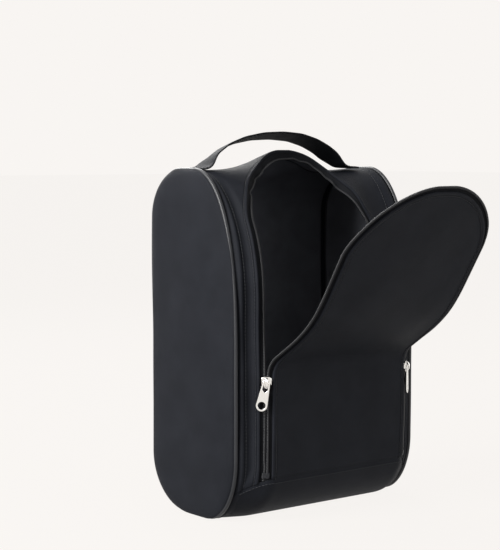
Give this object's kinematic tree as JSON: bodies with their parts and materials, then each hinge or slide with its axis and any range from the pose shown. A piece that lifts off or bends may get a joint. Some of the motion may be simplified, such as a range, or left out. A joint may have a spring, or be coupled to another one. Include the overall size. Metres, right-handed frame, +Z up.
{
  "type": "shoe bag",
  "caption": "Soft fabric bag for a pair of shoes, with a wide zip-round front flap, piped side panels and a webbing top handle.",
  "frame": {"origin": "on the flat base, midway between the side seams, at the middle of the side panels' depth", "axes": "+Z up, front flap faces -Y, +X to the right seen from the front"},
  "size_m": [0.246, 0.2875, 0.378],
  "materials": {
    "outer_fabric": "matte woven polyester",
    "piping": "satin cord cover",
    "binding_tape": "matte ribbed tape",
    "zip_tape": "matte fine weave",
    "zip_coil": "satin nylon",
    "webbing": "matte ribbed webbing",
    "nickel": "polished nickel plate"
  },
  "bodies": {
    "shell": {"front_surround": "outer_fabric", "back_panel": "outer_fabric", "base_pan": "outer_fabric", "flap_base_strip": "outer_fabric", "side_panel_left": "outer_fabric", "side_panel_right": "outer_fabric", "piping_left": "piping", "piping_right": "piping", "seam_binding_left": "binding_tape", "seam_binding_right": "binding_tape", "zip_tape_body": "zip_tape", "zip_coil_body": "zip_coil", "zip_tape_flap_base": "zip_tape", "zip_coil_flap_base": "zip_coil", "zip_stops": "nickel", "handle_anchor_left": "webbing", "handle_anchor_right": "webbing"},
    "lower_flap": {"flap_panel_lower": "outer_fabric", "flap_fold_strip": "outer_fabric", "zip_tape_flap_lower": "zip_tape", "zip_coil_flap_lower": "zip_coil"},
    "upper_flap_1": {"flap_panel_1": "outer_fabric", "zip_tape_flap_1": "zip_tape", "zip_coil_flap_1": "zip_coil"},
    "upper_flap_2": {"flap_panel_2": "outer_fabric", "zip_tape_flap_2": "zip_tape", "zip_coil_flap_2": "zip_coil"},
    "upper_flap_3": {"flap_panel_3": "outer_fabric", "zip_tape_flap_3": "zip_tape", "zip_coil_flap_3": "zip_coil"},
    "slider_left": {"slider_left": "nickel"},
    "pull_left": {"pull_tab_left": "nickel"},
    "slider_right": {"slider_right": "nickel"},
    "pull_right": {"pull_tab_right": "nickel"},
    "handle": {"handle_strap": "webbing"}
  },
  "joints": [
    {"name": "lower_flap_fold", "type": "hinge", "parent": "shell", "child": "lower_flap", "pos_m": [0, -0.0871, 0.058], "axis": [1, 0, 0], "range_deg": [0, 25]},
    {"name": "flap_close", "type": "hinge", "parent": "lower_flap", "child": "upper_flap_1", "pos_m": [0, -0.0871, 0.148], "axis": [1, 0, 0], "range_deg": [-46.4, 0]},
    {"name": "flap_curl_1", "type": "hinge", "parent": "upper_flap_1", "child": "upper_flap_2", "pos_m": [0, -0.17599, 0.25424], "axis": [1, 0, 0], "range_deg": [-20.92, 0]},
    {"name": "flap_curl_2", "type": "hinge", "parent": "upper_flap_2", "child": "upper_flap_3", "pos_m": [0, -0.20072, 0.29539], "axis": [1, 0, 0], "range_deg": [-28.72, 0]},
    {"name": "zip_left", "type": "slide", "parent": "shell", "child": "slider_left", "axis": [0, 0, 1], "range_m": [-0.08, 0.06]},
    {"name": "zip_right", "type": "slide", "parent": "shell", "child": "slider_right", "axis": [0, 0, 1], "range_m": [-0.08, 0.06]},
    {"name": "pull_left_swing", "type": "hinge", "parent": "slider_left", "child": "pull_left", "pos_m": [-0.09307, -0.08559, 0.139], "axis": [0.7583, -0.6179, -0.2079], "range_deg": [-165, 0]},
    {"name": "pull_right_swing", "type": "hinge", "parent": "slider_right", "child": "pull_right", "pos_m": [0.09307, -0.08559, 0.139], "axis": [0.7742, 0.6308, 0.0523], "range_deg": [-165, 0]},
    {"name": "handle_lean", "type": "hinge", "parent": "shell", "child": "handle", "pos_m": [0, 0, 0.344], "axis": [1, 0, 0], "range_deg": [-35, 35]}
  ],
  "couplings": [
    {"joint": "flap_curl_1", "follows": "flap_close", "ratio": 0.4504},
    {"joint": "flap_curl_2", "follows": "flap_close", "ratio": 0.6185}
  ]
}
